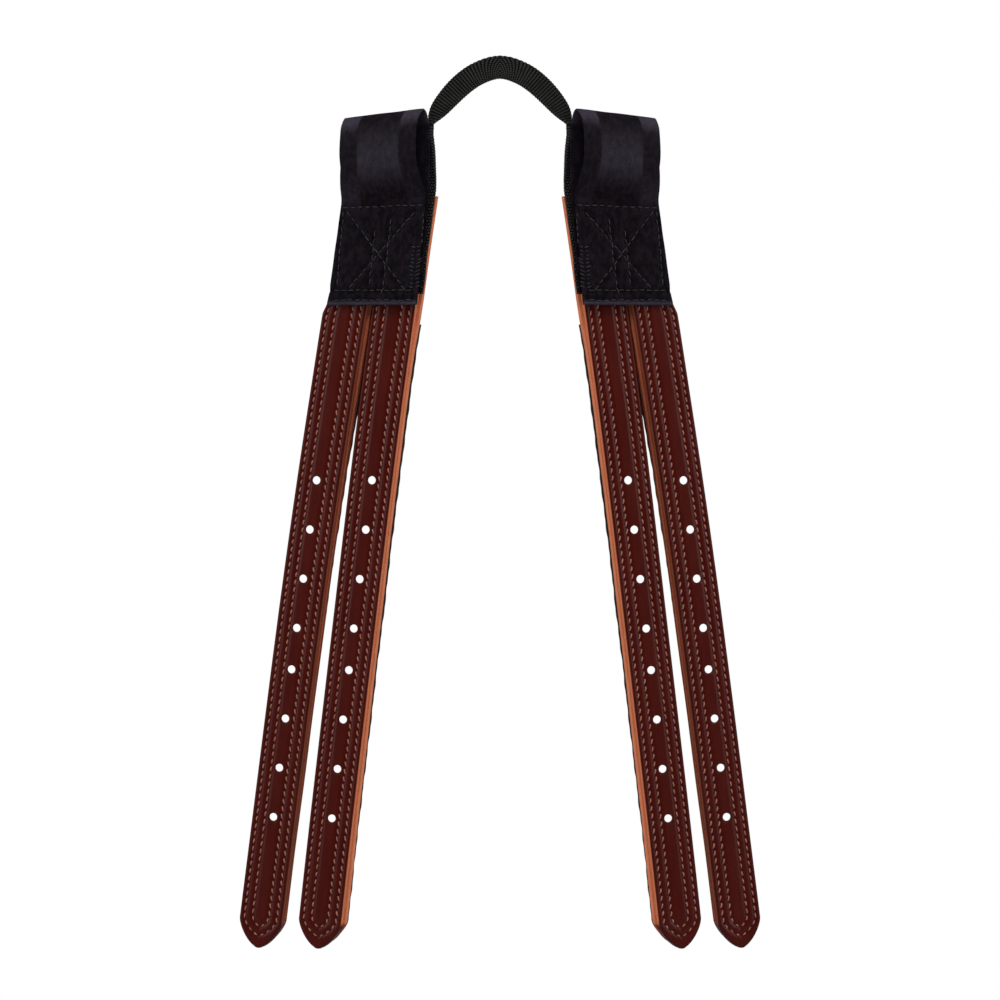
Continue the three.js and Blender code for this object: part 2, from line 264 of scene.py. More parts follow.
def grid_faces(rows, columns, closed=False, start=0):
    """Four-sided faces of a grid of points kept by rows. A closed one joins each row's end to its start."""
    index = start + np.arange(rows * columns).reshape(rows, columns)
    beside = np.roll(index, -1, axis=1)
    if not closed:
        index, beside = index[:, :-1], beside[:, :-1]
    return np.stack([index[:-1], beside[:-1], beside[1:], index[1:]], axis=-1).reshape(-1, 4)


def facing_out(points, faces):
    """The faces of a closed body, turned so that they all face outwards."""
    corners = points[faces]
    total = 0.0
    for second, third in ((1, 2), (2, 3)):
        normal = np.cross(corners[:, second], corners[:, third])
        total += np.einsum("ij,ij->", corners[:, 0], normal)
    return faces if total > 0 else faces[:, ::-1]


def add_piece(name, side, points, faces, material, facts, sharp=None):
    """A mesh object from points of the left side in millimetres. The right side is the mirror image."""
    points = np.asarray(points, float).reshape(-1, 3) * 0.001
    if side == "right":
        points = points * (-1, 1, 1)
    faces = facing_out(points, np.asarray(faces))
    mesh = bpy.data.meshes.new(name)
    mesh.from_pydata(points.tolist(), [], faces.tolist())
    mesh.polygons.foreach_set("use_smooth", [True] * len(mesh.polygons))
    if sharp:
        mesh.set_sharp_from_angle(angle=math.radians(sharp))
    for fact, values in facts.items():
        values = np.asarray(values, np.float32)
        if values.ndim > 1:
            kept = mesh.attributes.new(fact, "FLOAT_VECTOR", "POINT")
            kept.data.foreach_set("vector", values.reshape(-1))
        else:
            kept = mesh.attributes.new(fact, "FLOAT", "POINT")
            kept.data.foreach_set("value", values)
    mesh.materials.append(material)
    made = bpy.data.objects.new(name, mesh)
    scene.collection.objects.link(made)
    return made


def tube(rows, columns):
    """Faces of a tube of closed rows of points, with both ends filled."""
    half = columns // 2
    ends = []
    for first in (0, (rows - 1) * columns):
        for j in range(half - 1):
            cap = [first + j, first + j + 1, first + columns - 2 - j, first + columns - 1 - j]
            ends.append(cap if first == 0 else cap[::-1])
    return np.vstack([grid_faces(rows, columns, closed=True)[:, ::-1], ends])


arch_steps = int(56 / strap_step)
arch_time = np.linspace(0.5, 0, arch_steps)
arch_knots = [(-reach * arch_reach, 0, -drop * arch_drop) for reach, drop in arch_shares]
arch_samples = (0.1 + 0.8 * arch_time) * (len(arch_shares) - 1)
arch_middle = spline(arch_knots, arch_samples)
arch_along = -directions(arch_middle)
arch_tip = (arch_bank * (1 - np.abs(2 * arch_time - 1) ** 4))[:, None]
straight_back = np.tile([0.0, 1.0, 0.0], (arch_steps, 1))
arch_outward = np.cross(arch_along, straight_back)
arch_across = straight_back * np.cos(arch_tip) + arch_outward * np.sin(arch_tip)
arch_through = np.cross(arch_across, arch_along)

tail_z = np.arange(-arch_drop - 0.3, tail_end, -strap_step)
turned = (math.pi / 2 - unit_turn) * smooth_between(billet_head, -arch_drop - 1.8, tail_z)
none = np.zeros_like(tail_z)
unit_across = np.stack([np.cos(turned), -np.sin(turned), none], axis=-1)
unit_through = np.stack([np.sin(turned), np.cos(turned), none], axis=-1)
beside_loop = 2.6 * smooth_between(-36, -66, tail_z) - 0.7
tail_edge = np.stack([leaning(tail_lean, tail_z) + beside_loop, none + 0.3, tail_z], axis=-1)
unit_zero = from_unit(np.zeros(3))
tail_middle = from_unit(tail_edge - unit_across * strap_width / 2 + unit_through * strap_thickness / 2)
tail_across = -(from_unit(unit_across) - unit_zero)
tail_through = from_unit(unit_through) - unit_zero

strap_middle = np.vstack([arch_middle, tail_middle])
at_corner = np.exp(-(((strap_middle[:, 2] - corner_level) / corner_spread) ** 2))
strap_middle[:, 0] -= corner_pull * at_corner
strap_across = np.vstack([arch_across, tail_across])[:, None, :]
strap_through = np.vstack([arch_through, tail_through])[:, None, :]
strap_run = travelled(strap_middle)[:, None]

face_columns = np.linspace(-1, 1, 61)
round_edge = np.linspace(-80, 80, 5)
edge_out = np.cos(np.radians(round_edge))
edge_up = np.sin(np.radians(round_edge))
section_across = np.concatenate([face_columns * 0.955, 0.955 + 0.045 * edge_out[::-1], -face_columns * 0.955])
section_across = np.concatenate([section_across, -0.955 - 0.045 * edge_out])
section_through = np.concatenate([np.ones(61), edge_up[::-1], -np.ones(61), edge_up])[None, :]
across_mm = (section_across * strap_width / 2)[None, :]

crease = np.exp(-((strap_run / crease_length) ** 2))
rib_run = strap_run + crease_slant * across_mm * crease
rib_number = np.floor(rib_run / rib_pitch)
rib_rise = np.sin(np.pi * (rib_run / rib_pitch - rib_number)) ** 0.8
yarn = 0.62 + 0.38 * np.cos(2 * np.pi * (across_mm / yarn_pitch + 0.5 * (rib_number % 2)))
flat_share = np.clip((1 - np.abs(section_across)) / 0.05, 0, 1)[None, :]
rib = rib_height * rib_rise * (yarn * flat_share + 0.8 * (1 - flat_share))
half_thickness = (strap_thickness / 2 - rib_height) * (1 + corner_swell * at_corner[:, None]) + rib
wander = 0.22 * np.sin(strap_run / 9.0) + 0.15 * np.sin(strap_run / 4.1 + 1.0)
from_middle = across_mm * (1 + 0.028 * (rib_rise - 0.6)) + wander * smooth_between(4, 30, strap_run)
from_centre = half_thickness * section_through - crease_dip * crease * np.cos(across_mm / 6)
strap_points = strap_middle[:, None, :] + strap_across * from_middle[..., None]
strap_points = strap_points + strap_through * from_centre[..., None]
strap_points[0, :, 0] = 0.3  # just past the middle, inside the other half
strap_faces = tube(*strap_points.shape[:2])
strap_place = np.stack(np.broadcast_arrays(strap_run, across_mm, section_through), axis=-1).reshape(-1, 3)

strap_look, tree, shader = new_material("ribbed black nylon", 0.45, 0.02)
place = attribute(tree, "place", "Vector")
threads = noise(tree, stretch(tree, place, (2.2, 9.0, 3.0)), 1.0, 2.0)
patches = noise(tree, place, 0.09, 2.0)
depth = attribute(tree, "rise")
# Painted light: rib tops painted pale and valleys near black, as painted highlights and painted shade of the
# ribs, broken up by random thread and patch texture.
raised_share = calculate(tree, "POWER", depth, 2.6)
painted_light_and_grain = calculate(tree, "MULTIPLY", raised_share, calculate(tree, "ADD", threads, patches))
colour = mix_colours(tree, painted_light_and_grain, (0.0006, 0.0006, 0.0006), (0.052, 0.051, 0.049))
tree.links.new(colour, shader.inputs["Base Color"])
tree.links.new(raised(tree, threads, 0.00012, 0.6), shader.inputs["Normal"])

for side, sign in (("left", -1), ("right", 1)):
    facts = {"place": strap_place, "rise": (rib / rib_height).reshape(-1)}
    name = f"{side}_half_of_connecting_strap"
    half_strap = add_piece(name, side, strap_points, strap_faces, strap_look, facts)
    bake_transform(half_strap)
    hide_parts("connecting_strap", f"{side}_strap_tail")

# ======== Webbing loop ========
# Smooth two-inch webbing, folded over into an open loop and sewn flat over the billet heads. Its satin face has
# three bands with different weaves. The front leg ends in a turned hem just below the box stitching. How
# brightly each band catches the light is painted into its colour as painted sheen that changes with height,
# and the hem's rolled edge has a painted highlight.
web_width = 50.8
web_thickness = 1.3
unit_top = 27.0
leg_back = -0.65
leg_front = -2.25
bulge = -14.95
opening_taper = 0.5
loop_inset = 0.8
leg_shift = 1.3
web_lean = 0.09
hem_flare = 1.5
hem_height = 7.2
fold_slope = 0.095
waist_downs = (30, 56, 72, 80, 126, 138)
waist_widths = (-1.6, -1.6, 1.2, 1.8, 4.2, 3.4)  # how much the front leg's outer edge stands out at those
centre_band = (0.235, 0.784)  # shares of the width, from the outer edge
loop_knots = [
    (0, leg_back, hem_line + 9),
    (0, leg_back, patch_top - 25),
    (0, leg_back, patch_top),
    (0, leg_back, patch_top + 22),
    (0, leg_back - 0.4, -unit_top - 12),
    (0, leg_back - 3.9, -unit_top - 2.5),
    (0, leg_back - 8.58, -unit_top - 0.65),
    (0, bulge + 1.2, -unit_top - 4.5),
    (0, bulge, -unit_top - 13),
    (0, bulge + 3.2, -unit_top - 27),
    (0, bulge + 7.6, -unit_top - 40),
    (0, leg_front - 1.4, patch_top + 5),
    (0, leg_front, patch_top - 3),
    (0, leg_front, patch_top - 25),
    (0, leg_front, hem_line),
]

dense_loop = spline(loop_knots, np.linspace(0, len(loop_knots) - 1, 3000))
dense_run = travelled(dense_loop)
loop_length = dense_run[-1]
loop_rows = 420
loop_run = np.linspace(0, loop_length, loop_rows)
loop_middle = np.stack([np.interp(loop_run, dense_run, dense_loop[:, k]) for k in range(3)], axis=-1)
loop_along = directions(loop_middle)
loop_through = np.cross(np.array([1.0, 0, 0]), loop_along)
loop_z = loop_middle[:, 2]
climb = fold_slope * smooth_between(hem_line, -unit_top, loop_z)
front_leg = smooth_between(0.4, 0.62, loop_run / loop_length)
flare = hem_flare * front_leg * (1 - smooth_between(hem_line, hem_line + 9, loop_z))
flared_width = web_width + flare
forward = np.minimum(0, loop_middle[:, 1] - leg_front)
loop_across = np.stack([np.ones(loop_rows), opening_taper * forward / flared_width, climb], axis=-1)
loop_centre = loop_middle.copy()
swing_out = 2.9 * front_leg * smooth_between(-24, -34, loop_z) * smooth_between(-78, -58, loop_z)
loop_centre[:, 0] = -flared_width / 2 - loop_inset - leg_shift * front_leg
loop_centre[:, 0] += leaning(web_lean, loop_z) - swing_out
loop_centre[:, 1] -= opening_taper * forward / 2

web_columns = np.linspace(-1, 1, 73)
web_share = np.concatenate([web_columns * 0.985, 0.985 + 0.015 * edge_out[::-1], -web_columns * 0.985])
web_share = np.concatenate([web_share, -0.985 - 0.015 * edge_out])[None, :]
web_side = np.concatenate([np.ones(73), edge_up[::-1], -np.ones(73), edge_up])[None, :]
selvedge = smooth_between(0.93, 0.985, np.abs(web_share))
rows_run = loop_run[:, None]
free_part = smooth_between(patch_top - 6, patch_top + 8, loop_z)[:, None]
waist = 0.6 * front_leg * np.exp(-(((loop_z + 60) / 8) ** 2)) * free_part[:, 0]
waist = waist - front_leg * np.interp(-loop_z, waist_downs, waist_widths)
outer_part = np.clip(-web_share, 0, 1)
across_web = web_share * flared_width[:, None] / 2 + waist[:, None] * outer_part
ripple = np.sin(across_web / 5.2 + 0.9 * np.sin(rows_run / 17)) * np.sin(rows_run / 7.5 + across_web / 21)
ripple = 0.32 * ripple + 0.2 * np.sin(across_web / 2.9 + 2.0) * np.sin(rows_run / 11 + 0.8)
ripple *= 0.2 + 0.8 * free_part * smooth_between(-28, -42, loop_z)[:, None]
edge_wave = 0.12 * np.sin(rows_run / 3.1) * np.abs(web_share) ** 6

stitch_lines = [
    # each from (x, z) to (x, z) on the patch, in the unit's frame
    ((-54.6, -81.4), (-3.6, -80.2)),
    ((-53.6, -82.9), (-57.7, -126.4)),
    ((-51.6, -82.9), (-15.2, -130.0)),
    ((-9.0, -84.1), (-50.4, -128.2)),
    ((-60.0, -129.2), (-11.4, -129.6)),
    ((-60.2, -135.0), (-10.8, -135.2)),
    ((-33.7, -94.5), (-37.4, -126.4)),
    ((-23.8, -87.6), (-29.4, -131.8)),
]
web_x = loop_centre[:, None, 0] + across_web
web_z = loop_z[:, None] + across_web * climb[:, None]
pull = np.zeros_like(web_x)
for (x0, z0), (x1, z1) in stitch_lines:
    length = math.hypot(x1 - x0, z1 - z0)
    share = np.clip(((web_x - x0) * (x1 - x0) + (web_z - z0) * (z1 - z0)) / length**2, 0, 1)
    away = np.hypot(web_x - x0 - share * (x1 - x0), web_z - z0 - share * (z1 - z0))
    pull = np.maximum(pull, np.exp(-((away / 1.3) ** 2)))
puckers = 0.16 * np.sin(web_x * 1.9 + web_z * 0.5) * np.sin(web_z * 1.5) * np.exp(-(((web_z + 130) / 9) ** 2))
puffed = 0.16 * np.sin(web_x / 3.1 + 1.3 * np.sin(web_z / 6.3)) * np.sin(web_z / 4.3 + web_x / 9.0)
outside = smooth_between(0.0, -1.0, web_side)
hem = smooth_between(hem_line + hem_height + 0.9, hem_line + hem_height - 0.6, loop_z)
hem *= front_leg
end_share = ((hem_line + 1.1 - loop_z) / 1.15).clip(0, 1)
end_round = np.sqrt(np.clip(1 - end_share**2, 0.02, 1)) * front_leg + 1 - front_leg
thick = web_thickness / 2 * (1 - 0.12 * selvedge) * web_side
thick = thick - outside * front_leg[:, None] * (1 - free_part) * (puckers + puffed - 0.42 * pull)
thick = thick - outside * (1.15 * hem)[:, None]
thick = thick * end_round[:, None]
web_points = (
    loop_centre[:, None, :]
    + loop_across[:, None, :] * across_web[..., None]
    + loop_through[:, None, :] * (thick + ripple + edge_wave)[..., None]
)
web_points = from_unit(web_points)

web_look, tree, shader = new_material("satin black webbing", 0.4, 0.018)
place = attribute(tree, "place", "Vector")
painted_sheen_share = attribute(tree, "painted_sheen")
warp = noise(tree, stretch(tree, place, (0.6, 7.0, 1.0)), 1.0, 2.0)
weft = noise(tree, stretch(tree, place, (5.0, 0.8, 1.0)), 1.0, 2.0)
twill = add_node(
    tree,
    "ShaderNodeTexWave",
    {"Vector": stretch(tree, place, (0.55, 0.8, 0.0)), "Scale": 1.0, "Distortion": 0.6, "Detail": 1.0},
    wave_type="BANDS",
    bands_direction="DIAGONAL",
).outputs["Fac"]
weave = calculate(tree, "MULTIPLY_ADD", warp, 0.55, calculate(tree, "MULTIPLY", weft, 0.45))
speckle = noise(tree, stretch(tree, place, (1.5, 1.5, 1.0)), 1.0, 3.0, 0.8)
worn = noise(tree, stretch(tree, place, (0.22, 0.3, 0.1)), 1.0, 3.0, 0.6)
grain = calculate(tree, "MULTIPLY_ADD", speckle, 1.7, -0.3, clamp=True)
grain = calculate(tree, "MULTIPLY", grain, calculate(tree, "MULTIPLY_ADD", worn, 1.5, 0.65))
# Painted sheen: the colour is lightened towards a painted highlight colour where the satin is painted bright.
painted_light_and_grain = calculate(tree, "MULTIPLY", painted_sheen_share, grain)
paler = calculate(tree, "MULTIPLY_ADD", worn, 3.6, -1.4, clamp=True)
shade = mix_colours(tree, paler, (0.0004, 0.0002, 0.0006), (0.0052, 0.0030, 0.0044))
colour = mix_colours(tree, painted_light_and_grain, shade, (0.0350, 0.0300, 0.0430))
tree.links.new(colour, shader.inputs["Base Color"])
fine = raised(tree, weave, 0.00010, 0.7)
tree.links.new(raised(tree, twill, 0.00006, 0.5, fine), shader.inputs["Normal"])

# Painted sheen by height: the middle band painted bright partway down the leg, the side bands at the fold, and
# a painted highlight on the hem's rolled edge.
across_share = (web_share + 1) / 2
in_centre = smooth_between(centre_band[0] - 0.012, centre_band[0] + 0.012, across_share)
in_centre = in_centre * smooth_between(centre_band[1] + 0.012, centre_band[1] - 0.012, across_share)
height = loop_z[:, None]
mid_leg = np.exp(-(((height + 52) / 14) ** 2))
at_fold = smooth_between(-38, -29, height)
near_patch = np.exp(-(((height + 71) / 7) ** 2))
on_patch = smooth_between(patch_top + 2, patch_top - 4, height)
painted_centre_sheen = 0.02 + 0.16 * at_fold + 0.62 * mid_leg * (1 - at_fold) + 0.05 * on_patch
painted_side_sheen = 0.16 + 0.95 * at_fold + 0.16 * near_patch * (across_share < 0.5) - 0.08 * on_patch
painted_sheen = in_centre * painted_centre_sheen + (1 - in_centre) * painted_side_sheen
painted_sheen = painted_sheen + 0.9 * hem[:, None] * smooth_between(hem_line + 3.4, hem_line + 0.6, height) * outside
painted_sheen = np.clip(painted_sheen + 0 * rows_run, 0, 1)
web_place = np.stack(np.broadcast_arrays(rows_run, across_web, web_side), axis=-1).reshape(-1, 3)
web_faces = tube(loop_rows, web_share.shape[1])

for side in ("left", "right"):
    facts = {"place": web_place, "painted_sheen": painted_sheen.reshape(-1)}
    web = add_piece(f"{side}_loop_webbing_cloth", side, web_points, web_faces, web_look, facts)
    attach(web, f"{side}_unit")
    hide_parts(f"{side}_loop_webbing")

# ======== Box stitching ========
# Grey bonded thread through webbing, strap and leather: a box with a cross in it, two rows along the hem, two
# short guide rows and a close zigzag beside the strap. The same rows show on the backs of the billet heads.
box_stitch = 3.4
box_gap = 0.9
box_thread_width = 0.62
patch_face = leg_front - web_thickness / 2
billet_front = {"outer": 0.3, "inner": 3.0}
face_thickness = 3.6
back_thickness = 3.8
layer_gap = 0.3
head_back_depth = face_thickness + back_thickness + layer_gap


def stitches(starts, ends, outward, width, rise, sink):
    """Threads that come up at one end, lie on the surface and go down at the other: one bent rod for each."""
    shares = np.array([0, 0.1, 0.28, 0.5, 0.72, 0.9, 1.0])
    heights = np.array([-1, -0.1, 0.75, 1, 0.75, -0.1, -1])
    swell = np.array([0.55, 0.85, 1, 1, 1, 0.85, 0.55])
    angles = np.linspace(0, 2 * np.pi, 6, endpoint=False)
    starts, ends, outward = (np.asarray(a, float)[:, None, :] for a in (starts, ends, outward))
    lift = np.where(heights > 0, heights * rise, -heights * -sink)[None, :, None]
    middle = starts + (ends - starts) * shares[None, :, None] + outward * lift
    along = ends - starts
    along = along / np.linalg.norm(along, axis=2, keepdims=True)
    sideways = np.cross(along, outward)
    ring_side = (np.cos(angles)[None, None, :, None] * sideways[:, :, None, :]) * width / 2
    ring_out = (np.sin(angles)[None, None, :, None] * outward[:, :, None, :]) * width * 0.42
    points = middle[:, :, None, :] + (ring_side + ring_out) * swell[None, :, None, None]
    one = np.vstack([grid_faces(7, 6, closed=True)[:, ::-1], [(0, 1, 2, 3), (0, 3, 4, 5)]])
    one = np.vstack([one, [(39, 38, 37, 36), (41, 40, 39, 36)]])
    count = len(points)
    faces = (one[None] + (np.arange(count) * 42)[:, None, None]).reshape(-1, 4)
    run = np.broadcast_to((shares * 3)[None, :, None], (count, 7, 6)) + np.arange(count)[:, None, None] * 7.3
    turn = np.broadcast_to(angles[None, None, :], (count, 7, 6))
    place = np.stack([run, turn, 0 * run], axis=-1).reshape(-1, 3)
    return points.reshape(-1, 3), faces, place


def thread_material(name, dark, light, roughness):
    """Twisted thread: strands wind round it, and some stitches are paler than others."""
    made, tree, shader = new_material(name, roughness, 0.15)
    place = attribute(tree, "place", "Vector")
    parts = add_node(tree, "ShaderNodeSeparateXYZ", {0: place}).outputs
    wind = calculate(tree, "MULTIPLY_ADD", parts[0], 7.5, calculate(tree, "MULTIPLY", parts[1], 2.0))
    strands = calculate(tree, "MULTIPLY_ADD", calculate(tree, "SINE", wind), 0.5, 0.5)
    shade = calculate(tree, "MULTIPLY_ADD", noise(tree, place, 0.31, 1.0), 1.1, -0.15, clamp=True)
    mixed = calculate(tree, "MULTIPLY", shade, calculate(tree, "MULTIPLY_ADD", strands, 0.45, 0.55))
    tree.links.new(mix_colours(tree, mixed, dark, light), shader.inputs["Base Color"])
    tree.links.new(raised(tree, strands, 0.00015, 0.8), shader.inputs["Normal"])
    return made


def row_of_stitches(start, end, stitch, gap):
    """The two ends of every stitch of a straight row."""
    start, end = np.asarray(start, float), np.asarray(end, float)
    length = np.linalg.norm(end - start)
    count = max(1, int(length / (stitch + gap)))
    firsts = (np.arange(count) + 0.5) * length / count - stitch / 2
    direction = (end - start) / length
    return start + firsts[:, None] * direction, start + (firsts + stitch)[:, None] * direction


box_thread = thread_material("grey patch thread", (0.004, 0.004, 0.005), (0.060, 0.057, 0.066), 0.6)
box_starts, box_ends = [], []
for start, end in stitch_lines:
    firsts, lasts = row_of_stitches(start, end, box_stitch, box_gap)
    box_starts.append(firsts)
    box_ends.append(lasts)
box_count = sum(len(firsts) for firsts in box_starts)
zigzag_z = np.arange(-104.0, -128.0, -2.3)
zigzag_out = np.stack([-10.4 + leaning(0.05, zigzag_z), zigzag_z], axis=-1)
zigzag_in = np.stack([-6.9 + leaning(0.05, zigzag_z), zigzag_z - 1.15], axis=-1)
zigzag_far = np.stack([-3.6 + leaning(0.05, zigzag_z), zigzag_z + 0.2], axis=-1)
box_starts += [zigzag_out, zigzag_in]
box_ends += [zigzag_in, zigzag_far]
guide_starts, guide_ends = row_of_stitches((-4.2, -84.0), (-4.6, -103.0), 2.2, 1.1)
box_starts.append(guide_starts)
box_ends.append(guide_ends)
box_starts, box_ends = np.vstack(box_starts), np.vstack(box_ends)
chance = np.random.default_rng(4)
box_starts = box_starts + chance.normal(0, 0.22, box_starts.shape)
box_ends = box_ends + chance.normal(0, 0.22, box_ends.shape)


def on_patch_face(flat):
    """Points of the patch's front, from x and z."""
    height = np.where(flat[:, 1] < hem_line + hem_height, patch_face - 1.15, patch_face)
    return np.stack([flat[:, 0], height + 0.22, flat[:, 1]], axis=-1)


def on_head_backs(flat):
    """Points of the backs of the two billet heads, from x and z."""
    between = -28.6 + leaning(0.13, flat[:, 1])
    behind = np.where(flat[:, 0] < between, billet_front["outer"], billet_front["inner"])
    return np.stack([flat[:, 0], behind + head_back_depth, flat[:, 1]], axis=-1)


front_way = from_unit(np.array([0.0, -1, 0])) - unit_zero
on_heads = (np.arange(len(box_starts)) < box_count) & (box_starts[:, 1] > -134) & (box_ends[:, 1] > -134)
surfaces = ((on_patch_face, front_way, slice(None)), (on_head_backs, -front_way, on_heads))
for side in ("left", "right"):
    halves = []
    for place_on, way, kept in surfaces:
        starts = from_unit(place_on(box_starts[kept]))
        ends = from_unit(place_on(box_ends[kept]))
        ways = np.tile(way, (len(starts), 1))
        halves.append(stitches(starts, ends, ways, box_thread_width, 0.22, 0.5))
    for label, (points, faces, place) in zip(("front", "back"), halves):
        rows = add_piece(f"{side}_box_stitches_{label}", side, points, faces, box_thread, {"place": place})
        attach(rows, f"{side}_unit")
        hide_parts(f"{side}_box_stitching")

# ======== Billet face leathers ========
# Four burgundy leather straps, two to a unit: dyed, waxed, creased along two rows of stitching on each side
# and burnished at the edges. Each is pointed, punched through all its layers with eight holes, and sewn in
# under the patch at its head.
billet_width = 26.8
billet_drop = 437.2
tip_length = 16.2
tip_nose = 1.7  # half the width of the blunt end
hole_diameter = 4.8
hole_pitch = 29.0
hole_group_gap = 24.4
hole_group = 4
first_hole = 164.5
hole_asides = {"outer": (-1.1, 0.1), "inner": (0.6, 0.4)}  # of the top and bottom holes from the centre line
seam_labels = ("edge", "inner")
seam_insets = (3.2, 8.2)
seam_apexes = (7.0, 12.4)  # from the tip to the point of each row's V
stitch_pitch = 4.4
flex_from = hem_line - 1.2
flex_to = hem_line - 12.0
flex_depth = 4.7  # from a billet's front back to the points that bend() gives
sway_phases = {"outer": 0.4, "inner": 2.1}
billet_lines = {
    # the centre line's distance from the unit's inner edge at the head, the bend and the tip
    "outer": ((42.3, 0), (73, 160), (108.7, billet_drop)),
    "inner": ((15.1, 0), (42.6, 178), (72.3, billet_drop)),
}
web_edge_downs = (72, 80, 100, 120, 130, 137, 146, 156)
web_edge_places = (-54.6, -54.6, -56.2, -59.2, -61.8, -64.6, -69.0, -400.0)  # free of it below the hem
raw_tan_shares_with_shade = {"outer": 0.30, "inner": 0.95}  # tan showing on the cut edge near the middle; the outer's is lower as painted shade from the inner billet
hole_step = 0.6
hole_reach = 6  # grid steps from a hole's middle to the edge of the patch of mesh round it
hole_skew = math.tan(unit_turn)  # sideways for each millimetre back, because the holes run straight back
sharp_angle = 55


def web_room(z):
    """x of the webbing's outboard edge over the patch, which the heads stay behind."""
    return np.interp(-z, web_edge_downs, web_edge_places)


def half_width(length, inset, apex, nose, down, width=billet_width):
    """Half the width of a billet's outline, or of a row of stitching inside it, at distances down."""
    half = width / 2 - inset
    shoulder = length - tip_length - 0.2 * inset
    end = length - apex
    time = np.linspace(0, 1, 80)
    knots = [(half, shoulder), (0.96 * half, shoulder + 0.30 * (end - shoulder))]
    knots += [(nose + 0.42 * half, end - 0.18 * (end - shoulder)), (nose, end - 0.3 * nose)]
    shares = [(1 - time) ** 3, 3 * time * (1 - time) ** 2, 3 * time**2 * (1 - time), time**3]
    curve = sum(share[:, None] * np.array(knot) for share, knot in zip(shares, knots))
    sweep = np.linspace(0, np.pi / 2, 14)[1:]
    rounded = np.stack([nose * np.cos(sweep), end - 0.3 * nose + 0.3 * nose * np.sin(sweep)], axis=-1)
    curve = np.vstack([curve, rounded])
    return np.interp(down, curve[:, 1], curve[:, 0], left=half, right=0.0)


def edge_drop(away, radius):
    """How far a rounded edge falls back at a distance in from the edge."""
    inside = np.clip((radius - away) / radius, 0, 1)
    return radius * (1 - np.sqrt(np.clip(1 - inside**2, 0, 1)))


class Billet:
    """A billet of the left unit. Places on it are distances across its centre line and down from its head."""

    def __init__(self, which):
        self.which = which
        ends = np.array([(-inwards, billet_head - drop) for inwards, drop in billet_lines[which]], float)
        time = np.linspace(0, 1, 1200)[:, None]
        self.points = (1 - time) ** 2 * ends[0] + 2 * time * (1 - time) * ends[1] + time**2 * ends[2]
        self.run = travelled(self.points)
        self.length = self.run[-1]
        self.way = directions(self.points)
        self.front = billet_front[which]
        self.back = self.front + face_thickness + layer_gap
        self.nylon_front = self.back + back_thickness + layer_gap
        group = np.arange(hole_group) * hole_pitch
        first = self.down_at(billet_head - first_hole)
        self.holes = np.concatenate([first + group, first + group[-1] + hole_group_gap + group])
        self.asides = np.linspace(*hole_asides[which], len(self.holes))

    def place(self, across, down):
        """x and z of places in the unit's frame. The side near the middle is positive across."""
        x, z, dx, dz = (np.interp(down, self.run, a) for a in (*self.points.T, *self.way.T))
        above = np.minimum(down, 0)
        x, z = x + above * dx, z + above * dz
        room = np.clip((x - web_room(z)) / (billet_width / 2), 0.2, 1)
        across = np.where(across < 0, across * room, across)
        return np.stack([x - dz * across, z + dx * across], axis=-1)

    def down_at(self, z):
        """How far down the line a height is."""
        return np.interp(-z, -self.points[:, 1], self.run)

    def outline(self, down, width=billet_width, shorter=0.0):
        """Half the width of a layer at distances down."""
        return half_width(self.length - shorter, 0, 0, tip_nose, down, width)

    def seam_half(self, seam, down):
        """How far a row of stitching is from the centre line."""
        return half_width(self.length, seam_insets[seam], seam_apexes[seam], 0.4, down)

    def seam_path(self, seam):
        """Places across and down along a row of stitching, and how many stitches each is from the start."""
        shoulder = self.length - tip_length - 1
        turn = np.linspace(shoulder, self.length - seam_apexes[seam], 60)
        down = np.concatenate([np.arange(20, shoulder, 1.5), turn])
        across = self.seam_half(seam, down)
        run = travelled(np.stack([across, down], axis=-1)) / stitch_pitch
        run += math.ceil(run[-1]) + 0.5 - run[-1]
        return across, down, run

    def sway(self, down):
        """The slow front-to-back wave of a strap that has been used."""
        return 0.45 * np.sin(down / 47 + sway_phases[self.which]) * smooth_between(75, 130, down)

    def rounding(self, across, down, radius, width=billet_width, shorter=0.0):
        """The drop of a layer's rounded edge."""
        away = self.outline(down, width, shorter) - np.abs(across)
        return edge_drop(np.minimum(away, self.length - shorter - down + 0.02), radius)

    def bend(self, side):
        """Two points, in metres, set back behind the front of the billet of that side: one just below the hem
        and one straight below that.
        """
        middle = self.points[int(np.argmin(np.abs(self.points[:, 1] - flex_from)))]
        x, y, _ = from_unit(np.array([middle[0], self.front + flex_depth, middle[1]])) * 0.001
        x = x if side == "left" else -x
        return (x, y, flex_from * 0.001), (x, y, flex_to * 0.001)


def down_stations(start, length, holes):
    """Distances down a billet for the mesh: close together round the holes and the point."""
    fixed = [start]
    for hole in holes:
        fixed += list(hole + np.arange(-hole_reach, hole_reach + 1) * hole_step)
    fixed += [length - tip_length]
    stations = [fixed[0]]
    for station in fixed[1:]:
        gap = station - stations[-1]
        count = 1 if gap < 0.7 else math.ceil(gap / 1.9)
        stations += list(stations[-1] + gap * (np.arange(count) + 1) / count)
    tip = np.linspace(0, 1, 30)[1:]
    stations += list(length - tip_length + (tip_length - 0.02) * (1 - (1 - tip) ** 1.5))
    return np.array(stations)


def mirrored_columns(outer, step_zone, half):
    """Columns across a layer: the outer ones as distances in from the edge, even ones in the middle."""
    even = np.arange(-step_zone, step_zone + 0.01, hole_step)
    side_columns = half - np.array(outer)
    return np.concatenate([-side_columns, even, side_columns[::-1]])


